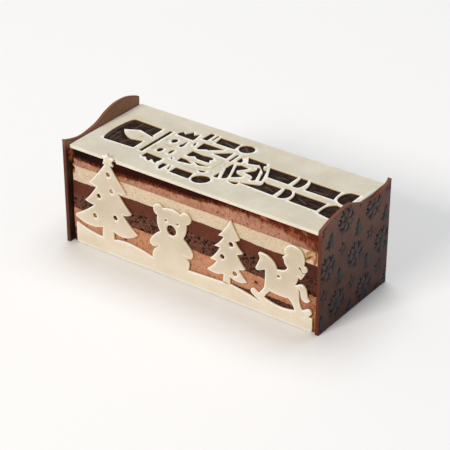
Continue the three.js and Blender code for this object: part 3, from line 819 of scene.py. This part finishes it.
TEAR = {"x": 97.6, "z": 54.8, "wide": 7.0, "high": 4.2, "deep": 3.0}
FLAP = ([89.5, 91.4, 94.0, 95.4, 97.6, 100], [49.0, 50.6, 52.9, 52.3, 50.2, 49.2])  # its top edge, x and z
TEAR_TAN = (88.8, 55.2, 92.8, 54.6, 1.6)
# TEAR_DARK: painted shadow along the tear's lower edge, and a darker streak at its right end.
TEAR_DARK = [(89.4, 51.0, 92.2, 52.3, 1.0), (92.2, 52.3, 93.8, 53.2, 0.9), (96.2, 55.4, 97.3, 49.8, 1.2)]
# The notch's hollow is painted darker towards its middle as painted shade; the next stroke darkens the cream
# beside it.
CREAM_NOTCH = [(-98.3, 56.4, 2.0)]
NOTCH_DARK = (-98.0, 57.8, -97.4, 54.2, 1.5)
CREAM_SPECKS = [(46, 57.9, 49, 57.8, 0.4), (52, 57.4, 56, 57.1, 0.35), (58, 56.6, 62, 56.3, 0.35)]


def cream_relief(x, z, below, seed):
    depth, share = pits(x, z, 40, 0.25, 0.6, seed)
    out = 0.08 * cloud(x, z, 9, seed) + 0.04 * ripple(x, z, 1.3, seed + 2) - 0.5 * depth
    return out, {"pit": 0.6 * soft_step(share, 0.2, 0.9), "tear": np.zeros_like(x)}


def cream_front_relief(x, z, below, seed):
    out, marks = cream_relief(x, z, below, seed)
    ragged = 1 + 0.2 * cloud(x, z, 2.2, 71)
    away = (((x - TEAR["x"]) / TEAR["wide"]) ** 2 + ((z - TEAR["z"]) / TEAR["high"]) ** 2) / ragged
    hollow = np.sqrt(np.clip(1 - away, 0, 1))
    flap = soft_step(np.interp(x, *FLAP) - z, -0.25, 0.35)
    crags = 0.45 * cloud(x, z, 1.8, 72)
    out = out - (TEAR["deep"] * hollow + crags * soft_step(hollow, 0, 0.5)) * (1 - 0.75 * flap)
    patches = 0.45 + 0.55 * soft_step(cloud(x, z, 2.4, 73), -0.3, 0.4)
    tint_and_painted_light = 0.5 * patches * np.maximum(soft_step(hollow, 0.05, 0.5), near_stroke(x, z, TEAR_TAN))
    dark = near_strokes(x, z, TEAR_DARK) * (0.8 + 0.2 * patches)
    tint_and_painted_light = np.maximum.reduce([tint_and_painted_light * (1 - flap), dark, near_stroke(x, z, NOTCH_DARK)])
    notch_depth, notch = hollows(x, z, CREAM_NOTCH)
    specks = near_strokes(x, z, CREAM_SPECKS) * soft_step(cloud(x, z, 1.4, 74), -0.4, 0.3)
    marks["tear"] = np.clip(tint_and_painted_light + 0.9 * soft_step(notch, 0, 0.6) + 0.6 * specks, 0, 1)
    return out - notch_depth, marks


def mousse_top_front_relief(x, z, below, seed):
    out, marks = mousse_relief(x, z, below, seed)
    depth, share = hollows(x, z, HIGH_PORES)
    marks["pit"] = np.maximum(marks["pit"], soft_step(share, 0, 0.7))
    reach = np.interp(x, *SMEAR_REACH)
    ragged = 2.0 * cloud(x, z / 2.5, 2.6, 81) + 0.8 * cloud(x, z, 0.9, 83)
    marks["smear"] = soft_step(reach + ragged - below, -1.2, 1.6)
    out = out + 0.12 * marks["smear"] * ripple(x, z, 1.2, 82) - depth
    return out, marks


def glaze_relief(x, z, below, seed):
    out = 0.12 * ripple(x, z / 6, 1.1, seed) + 0.08 * cloud(x, z, 2.5, seed + 4) - 0.05
    return out, {"smear": np.zeros_like(x)}


GLAZE_SMEARS = [(57.0, 70.6, 61.0, 69.8, 1.0), (87.5, 69.6, 90.5, 69.0, 0.8)]
GLAZE_PORES = [(43.5, 69.6, 1.0)]


def glaze_front_relief(x, z, below, seed):
    out, marks = glaze_relief(x, z, below, seed)
    right = 0.8 * soft_step(x, 60, 95) * soft_step(cloud(x, z / 2, 3.2, 91), 0.0, 0.8)
    broken = 1.6 * soft_step(cloud(x, z, 1.1, 92), -0.6, 0.4)
    right = np.maximum(right, broken * near_strokes(x, z, GLAZE_SMEARS))
    marks["smear"] = np.clip(right, 0, 1)
    depth, _ = hollows(x, z, GLAZE_PORES)
    return out - depth, marks


LOOKS = {  # material slot, front relief, back relief, how far the front stops short of the left panel
    "sponge_base": ("sponge", sponge_base_front_relief, sponge_relief, 0.5),
    "mousse_milk": ("mousse", mousse_low_front_relief, mousse_relief, 0.5),
    "sponge_middle": ("sponge", sponge_relief, sponge_relief, 0.5),
    "ganache": ("ganache", ganache_relief, ganache_relief, 0.5),
    "cream_vanilla": ("cream", cream_front_relief, cream_relief, 1.0),
    "mousse_top": ("mousse", mousse_top_front_relief, mousse_relief, 2.2),
    "glaze": ("glaze", glaze_front_relief, glaze_relief, 3.4),
}
MOST_PROUD = 0.22  # the plaque's back lies just in front


def cut_face(low, high, relief, seed, retreat):
    """One cut face of a layer: its points, column by column from its lower edge up, and their marks."""
    rows = np.linspace(0, 1, ROWS + 1)
    z = low[:, None] + (high - low)[:, None] * rows
    inward = (retreat - PANEL_INNER + END) * (1 - soft_step(COLUMNS, -END, -END + RETREAT_EASE))
    x = np.repeat((COLUMNS + inward)[:, None], len(rows), axis=1)
    out, marks = relief(x, z, high[:, None] - z, seed)
    marks["above"] = z - low[:, None]
    out = np.minimum(out, MOST_PROUD)
    from_end = COLUMNS[:, None] + END
    out = out - CORNER * np.clip(1 - from_end / CORNER, 0, 1) ** 2
    edge = np.minimum(rows, 1 - rows) * (high - low)[:, None]
    out = out - SEAM_DIP * np.clip(1 - edge / SEAM_DIP_REACH, 0, 1)
    return x, out, z, marks


def layer_mesh(level, front_seams, back_seams, front_relief, back_relief, retreat):
    """A whole layer: both cut faces, joined underneath, on top and at the ends."""
    shares = []
    for relief, heights, seed, back_off in (
        (front_relief, front_seams, 100 + level, retreat),
        (back_relief, back_seams, 200 + level, PANEL_INNER - END),
    ):
        low = heights[level] + SEAM_GAP / 2
        high = heights[level + 1] - SEAM_GAP / 2
        shares.append(cut_face(low, high, relief, seed, back_off))
    (x, out, z, marks), (x_back, out_back, z_back, marks_back) = shares
    front = np.stack([x, -CUT - out, z], axis=2)
    back = np.stack([x_back, CUT + out_back, z_back], axis=2)[:, ::-1]
    grid = np.concatenate([front, back], axis=1)
    named = {}
    for mark in marks:
        named[mark] = np.concatenate([marks[mark], marks_back[mark][:, ::-1]], axis=1).ravel()
    columns, around = grid.shape[:2]
    index = np.arange(columns * around).reshape(columns, around)
    faces = []
    for j in range(around):
        a, b = index[:, j], index[:, (j + 1) % around]
        faces += np.column_stack([a[:-1], a[1:], b[1:], b[:-1]]).tolist()
    for j in range(ROWS):
        k = around - 1 - j
        faces.append((index[0, j], index[0, j + 1], index[0, k - 1], index[0, k]))
        faces.append((index[-1, j], index[-1, k], index[-1, k - 1], index[-1, j + 1]))
    return grid.reshape(-1, 3), faces, named


# Glaze in the stencil's openings

PAD_TOP = 0.8  # below the plate's face
PAD_FOOT = 0.5  # below the top of the glaze's slab
PAD_EDGE = 0.22  # width of the glaze's slope beside an opening's wall
PAD_DROP = 0.12  # how far it slopes down there
PAD_GRID = 0.5
FAR_WALL = np.array([0.58, -0.81])  # the way that the openings' walls with tan painted shade face
BRINK = 1.3  # how far the glaze's painted shade reaches from the walls
NEAR_BRINK = 0.4  # how strong that painted shade is beside the walls that face away
RIDGES = [  # raised lines on the glaze, as strokes with their width
    (-88.0, -14.0, -89.6, 0.0, 0.5),
    (-89.6, 0.0, -88.0, 14.0, 0.5),
    (-84.2, -14.5, -85.6, -2.0, 0.45),
    (-80.6, -15.5, -81.4, -6.0, 0.4),
    (-75.0, -15.0, -72.6, -8.6, 0.4),
    (-80.0, 6.0, -79.0, 15.0, 0.4),
    (-70.5, 7.0, -69.0, 15.2, 0.45),
    (-18.0, 26.5, -9.0, 24.0, 0.6),
    (-1.6, 27.4, 3.6, 23.4, 0.6),
    (38.0, 6.2, 44.0, 7.4, 0.5),
    (68.0, 4.6, 78.0, 5.2, 0.5),
    (66.0, -9.4, 73.0, -12.4, 0.5),
    (40.0, -9.0, 47.0, -11.5, 0.5),
]


def glaze_height(x, y):
    """How far the glaze in an opening lies below its highest level."""
    ridges = near_strokes(x, y, RIDGES)
    low = 0.1 + 0.06 * cloud(x, y, 7, 61) + 0.03 * ripple(x, y, 1.8, 62) - 0.14 * ridges
    return np.clip(low, 0, None)


def pad_mesh(opening, plate):
    """The glaze that fills one opening, as a closed solid."""
    loop = opening[::-1]
    rim = loop + leftward(loop) * PAD_GAP
    inner = loop + leftward(loop) * (PAD_GAP + PAD_EDGE)
    loose = scattered([inner], PAD_GRID, 5)
    loose = clear_of(loose[inside(loose, [inner])], inner, OUTLINE_CLEAR)
    flat, cap = fill([inner], loose)
    size = len(loop)
    count = len(flat)
    top = plate.solid(flat, PAD_TOP + glaze_height(*flat.T))
    shoulder = plate.solid(rim, PAD_TOP + PAD_DROP + glaze_height(*rim.T))
    foot_depth = plate.thickness + PAD_FOOT
    foot = plate.solid(rim, foot_depth)
    under = plate.solid(flat, foot_depth)
    points = np.vstack([top, shoulder, foot, under])
    faces = cap.tolist() + (cap[:, ::-1] + count + 2 * size).tolist()
    rings = [first + np.arange(size) for first in (0, count, count + size, count + 2 * size)]
    for upper, lower in zip(rings, rings[1:]):
        faces += bands(upper, lower, [size])
    # Painted shade on the glaze beside the walls, strongest beside those facing FAR_WALL.
    shaded = NEAR_BRINK + (1 - NEAR_BRINK) * soft_step(leftward(loop) @ FAR_WALL, -0.3, 0.5)
    tree = tree_of(inner)
    nearest = [tree.find((*point, 0)) for point in flat]
    edge_shade = np.array([shaded[k] * math.exp(-((away / BRINK) ** 2)) for _, k, away in nearest])
    return points, faces, np.concatenate([edge_shade, shaded, shaded, edge_shade])


# Print on the end panels


def turned_by(points, angle):
    """Points of a plane, turned about its origin."""
    x, y = points.T
    across = x * math.cos(angle) - y * math.sin(angle)
    up = x * math.sin(angle) + y * math.cos(angle)
    return np.column_stack([across, up])


def snowflake(radius):
    """One outline round six arms, each with a pair of slanted twigs."""
    half = 0.09 * radius
    width = 0.2 * radius
    start = 0.5 * radius
    twig = 0.32 * radius
    sixth = math.radians(60)
    right = [(1.732 * half, -half)]
    for shift, reach in ((0, 0), (0, twig), (width, twig), (width, 0)):
        right.append((start + shift + reach * math.cos(sixth), -half - reach * math.sin(sixth)))
    right.append((0.94 * radius, -half))
    arm = np.array(right + [(radius, 0)] + [(x, -y) for x, y in right[:0:-1]])
    return [np.vstack([turned_by(arm, math.radians(60 * k)) for k in range(6)])]


def star(radius):
    """A five-pointed star drawn as a line."""
    turns = np.pi / 2 + np.arange(10) * np.pi / 5
    reach = np.where(np.arange(10) % 2 == 0, radius, 0.42 * radius)
    outline = np.column_stack([reach * np.cos(turns), reach * np.sin(turns)])
    return [outline, 0.5 * outline[::-1]]


def small_tree(height):
    """A fir of three tiers on a stub of a trunk, its middle at the origin."""
    tiers = [(0, 0.5), (0.2, 0.2), (0.1, 0.2), (0.3, -0.08), (0.15, -0.08), (0.4, -0.36)]
    right = tiers + [(0.07, -0.36), (0.07, -0.5)]
    outline = right + [(-x, y) for x, y in right[:0:-1]]
    return [np.array(outline)[::-1] * height]


LATTICE = 19  # between neighbouring motifs
LATTICE_TURN = math.radians(22)
MOTIFS = ((snowflake, 10.5), (star, 6), (small_tree, 13))  # with their sizes
PRINT_SHARE = 0.985  # of the panel's outline that the print fills
PRINT_PROUD = 0.05  # how far the print stands above the panel's face, and how far it reaches in


def motifs(side, seed):
    """The print's motifs, each as its outlines, in rows that run off the panel's edges."""
    draw = np.random.default_rng(seed)
    middle = side.flat(box_of(side.node)).mean(axis=0)
    found = []
    for row in range(-5, 6):
        for column in range(-5, 6):
            shape, size = MOTIFS[(column - row) % 3]
            at = np.array([[(column + row / 2) * LATTICE, row * LATTICE * math.sqrt(3) / 2]])
            lean = draw.uniform(-0.35, 0.35)
            grown = size * draw.uniform(0.94, 1.06)
            place = turned_by(at, LATTICE_TURN) + middle
            found.append([turned_by(loop, lean) + place for loop in shape(grown)])
    return found


def prism(side, loops, upper, lower):
    """A closed solid between two depths, with the outlines' material on their left."""
    flat, cap = fill(loops, np.empty((0, 2)))
    count = len(flat)
    points = np.vstack([side.solid(flat, upper), side.solid(flat, lower)])
    faces = cap.tolist() + (cap[:, ::-1] + count).tolist()
    sizes = [len(loop) for loop in loops]
    ring = np.arange(sum(sizes))
    return points, faces + bands(ring, count + ring, sizes)


def joined(parts):
    """Several meshes as one list of points and one of faces."""
    points = []
    faces = []
    for part_points, part_faces in parts:
        first = sum(len(p) for p in points)
        points.append(part_points)
        faces += [tuple(corner + first for corner in face) for face in part_faces]
    return np.vstack(points), faces


def clipped(name, parts, cutter):
    """The parts' common volume with the cutter, as one mesh's points and faces."""
    whole = plain_object(name + "_whole", *joined(parts))
    limit = plain_object(name + "_limit", *cutter)
    clip = whole.modifiers.new("clip", "BOOLEAN")
    clip.operation = "INTERSECT"
    clip.solver = "MANIFOLD"
    clip.object = limit
    bpy.context.view_layer.update()
    evaluated = whole.evaluated_get(bpy.context.evaluated_depsgraph_get())
    mesh = evaluated.to_mesh()
    points = np.array([vertex.co for vertex in mesh.vertices]) / MM
    faces = [tuple(polygon.vertices) for polygon in mesh.polygons]
    evaluated.to_mesh_clear()
    bpy.data.objects.remove(whole)
    bpy.data.objects.remove(limit)
    return points, faces


# The pieces

PLATE_MARKS = [  # shallow dents and scored lines on the plate, as strokes with their width
    (-68.0, -0.4, -67.8, 0.4, 1.0),
    (-50.8, 4.1, -51.4, 7.5, 0.5),
    (-51.1, -9.3, -51.8, -4.8, 0.5),
    (-48.2, -0.3, -42.0, -0.4, 0.45),
    (-20.0, -17.6, -9.0, -17.4, 0.35),
    (-2.3, -10.0, -2.2, 3.6, 0.3),
    (1.0, -0.2, 1.2, 0.2, 0.5),
    (1.0, -5.2, 1.1, -4.8, 0.5),
    (1.0, -14.7, 1.1, -14.3, 0.5),
    (26.3, 10.4, 26.8, 9.6, 0.7),
]
MARK_DEPTH = 0.35
MARK_GRID = 0.4


def plate_relief(x, y):
    return 0.05 + 0.04 * cloud(x, y, 18, 11) + MARK_DEPTH * near_strokes(x, y, PLATE_MARKS)


def stroke_points(strokes):
    """Extra points where a sheet is marked."""
    found = []
    for x0, y0, x1, y1, width in strokes:
        reach = 2.4 * width
        low = (min(x0, x1) - reach, min(y0, y1) - reach)
        high = (max(x0, x1) + reach, max(y0, y1) + reach)
        found.append(lattice(low, high, MARK_GRID))
    return np.vstack(found)


def make_plate(material):
    side = Side("plate_top", (1, 0, 0), (0, 1, 0))
    loops = [hand_cut(loop, 300 + k) for k, loop in enumerate(face_loops(side))]
    points, faces, marks = sheet_mesh(
        side,
        loops,
        plate_relief,
        # Tan painted shade on the walls of the openings that face FAR_WALL.
        lambda outward, opening: opening * soft_step(outward @ FAR_WALL, -0.1, 0.5),
        outer_rim=0.15,
        face_rim=0.9,
        dense=stroke_points(PLATE_MARKS),
        seed=2,
    )
    marks["crack"] = np.zeros(len(points))
    top = points[:, 2] > side.level - 1
    marks["dent"] = np.where(top, near_strokes(points[:, 0], points[:, 1], PLATE_MARKS), 0)
    piece("stencil_plate", points, faces, material, "plate_top", marks)
    return side, loops


CRACKS = [(27.6, 13.4, 34.2, 12.9, 0.3)]  # at the small fir's foot


def plaque_relief(x, z):
    return 0.04 + 0.035 * cloud(x, z, 12, 21)


def make_plaque(material):
    side = Side("plaque_front", (1, 0, 0), (0, 0, 1))
    loops = [hand_cut(loop, 400 + k) for k, loop in enumerate(face_loops(side))]
    for loop in loops:
        loop[:, 1] = np.maximum(loop[:, 1], 0)
    points, faces, marks = sheet_mesh(
        side,
        loops,
        plaque_relief,
        # Yellow painted glow on the walls that face right.
        lambda outward, opening: 0.8 * soft_step(outward[:, 0], 0, 0.6),
        face_rim=0.2,
        dense=stroke_points(CRACKS),
        seed=3,
    )
    marks["dent"] = marks["foot"] = np.zeros(len(points))
    x, y, z = points.T
    line = near_strokes(x, z, CRACKS) * soft_step(ripple(x, z, 1.1, 23), -0.5, 0.3)
    marks["crack"] = np.where(y < -side.level + 0.8, line, 0)
    piece("figure_plaque", points, faces, material, "plaque_front", marks)


PANEL_SMEARS = {  # smears of glaze on a panel's inner face, as strokes on its outer face
    "panel_right": [],
    "panel_left": [(36.3, 63.5, 36.6, 71.0, 2.3)],
}


def panel_relief(x, z):
    return 0.12 + 0.05 * cloud(x, z, 25, 31)


def make_panel(node, name, across, material, ink, seed):
    side = Side(node, across, (0, 0, 1))
    corners = side.flat(box_of(node))
    outline = np.clip(hand_cut(face_loops(side)[0], seed), corners.min(axis=0), corners.max(axis=0))
    strokes = PANEL_SMEARS[node]
    points, faces, marks = sheet_mesh(
        side,
        [outline],
        panel_relief,
        # The whole edge takes the panels' edge colour, with its painted light.
        lambda outward, opening: np.ones(len(outward)),
        grid=2.4,
        dense=stroke_points(strokes) if strokes else None,
        seed=seed,
    )
    inner = side.level - points @ side.out > side.thickness - 0.1
    x, z = side.flat(points).T
    smeared = near_strokes(x, z, strokes) * soft_step(cloud(x, z, 2.0, 93), -0.5, 0.3)
    marks["smear"] = np.where(inner, smeared, 0)
    piece(name, points, faces, material, node, marks)
    make_print(side, outline, name + "_print", ink, seed)


def make_print(side, outline, name, ink, seed):
    """The motifs, cut off at the panel's outline and laid on its face. They are cut as thicker solids."""
    middle = outline.mean(axis=0)
    limit = prism(side, [middle + (outline - middle) * PRINT_SHARE], -1, 1)
    upper, lower = 0.0, 0.2
    parts = [prism(side, loops, upper, lower) for loops in motifs(side, seed)]
    points, faces = clipped(name, parts, limit)
    depth = side.level - points @ side.out
    flat = side.flat(points)
    on_top = depth < (upper + lower) / 2
    depth = panel_relief(*flat.T) + np.where(on_top, -PRINT_PROUD, PRINT_PROUD)
    piece(name, side.solid(flat, depth), faces, ink)


def make_layers(materials):
    front = seams(True)
    back = seams(False)
    for level, node in enumerate(STACK):
        slot, *shape = LOOKS[node]
        points, faces, marks = layer_mesh(level, front, back, *shape)
        piece(node + "_layer", points, faces, materials[node], node, marks)


def make_glaze_pads(plate, loops, material):
    pads = [pad_mesh(loop, plate) for loop in loops[1:] if abs(area(loop)) > PAD_MIN_AREA]
    points, faces = joined([(pad_points, pad_faces) for pad_points, pad_faces, _ in pads])
    marks = {"edge_shade": np.concatenate([edge_shade for _, _, edge_shade in pads])}
    marks["ridge_highlight"] = near_strokes(points[:, 0], points[:, 1], RIDGES)
    piece("glaze_in_openings", points, faces, material, "glaze", marks)


white = white_chocolate()
brown = milk_chocolate()
ink = print_ink()
layer_materials = {
    "sponge_base": sponge("sponge_low", 1.0),
    "mousse_milk": mousse("mousse_low", "c08b69", "b07a59", "955e40", 2.0),
    "sponge_middle": sponge("sponge_high", 6.0),
    "ganache": ganache_material(),
    "cream_vanilla": cream_material(),
    "mousse_top": mousse("mousse_high", "b5846b", "a4735a", "87543d", 11.0),
    "glaze": glaze_cut(),
}
plate_side, plate_loops = make_plate(white)
make_plaque(white)
make_layers(layer_materials)
make_glaze_pads(plate_side, plate_loops, glaze_gloss())
make_panel("panel_right", "end_panel_right", (0, 1, 0), brown, ink, 51)
make_panel("panel_left", "end_panel_left", (0, -1, 0), brown, ink, 52)


# Stage, light and camera. Places here are in metres.

FLOOR_REACH = 3


def make_floor():
    paint = Paint("floor", Roughness=0.7, Specular_IOR_Level=0.2)
    paint.color = paint.mix(paint.noise(400), "faf9f8", "fcfbfa")
    corners = np.array([(-1, -1, 0), (1, -1, 0), (1, 1, 0), (-1, 1, 0)]) * FLOOR_REACH / MM
    floor = plain_object("floor", corners, [(0, 1, 2, 3)])
    floor.data.materials.append(paint.finish())


def softbox(name, place, target, size, watts, color):
    light = bpy.data.lights.new(name, "AREA")
    light.shape = "RECTANGLE"
    light.size, light.size_y = size
    light.energy = watts
    light.color = color
    made = bpy.data.objects.new(name, light)
    made.location = place
    made.rotation_mode = "QUATERNION"
    made.rotation_quaternion = (Vector(target) - Vector(place)).to_track_quat("-Z", "Y")
    bpy.context.scene.collection.objects.link(made)


def make_lights():
    world = bpy.data.worlds.new("studio")
    world.use_nodes = True
    background = world.node_tree.nodes["Background"]
    background.inputs["Color"].default_value = (1, 1, 1, 1)
    background.inputs["Strength"].default_value = 0.25
    bpy.context.scene.world = world
    softbox("key", (-0.5, -2.93, 1.72), (0, 0, 0.03), (1.2, 0.8), 77, (1.0, 0.94, 0.88))
    softbox("top", (-0.3, 1.0, 2.7), (0, 0, 0.05), (2.4, 1.6), 47, (0.94, 0.97, 1.0))


CAMERA_AZIMUTH = math.radians(36.02)
CAMERA_ELEVATION = math.radians(29.997)
CAMERA_DISTANCE = 1.14484
CAMERA_RIGHT = 0.00098
CAMERA_UP = 0.023772
LENS = 135.3  # mm, for a sensor 36 mm wide


def make_camera():
    level = math.cos(CAMERA_ELEVATION)
    east = math.sin(CAMERA_AZIMUTH) * level
    south = math.cos(CAMERA_AZIMUTH) * level
    back = Vector((east, -south, math.sin(CAMERA_ELEVATION)))
    right = (-back).cross(Vector((0, 0, 1))).normalized()
    up = right.cross(-back)
    camera = bpy.data.cameras.new("camera")
    camera.lens = LENS
    camera.sensor_width = 36
    made = bpy.data.objects.new("camera", camera)
    turn = Matrix((right, up, back)).transposed().to_4x4()
    place = back * CAMERA_DISTANCE + right * CAMERA_RIGHT + up * CAMERA_UP
    made.matrix_world = Matrix.Translation(place) @ turn
    bpy.context.scene.collection.objects.link(made)
    bpy.context.scene.camera = made


make_floor()
make_lights()
make_camera()
bpy.context.scene.view_settings.view_transform = "Standard"
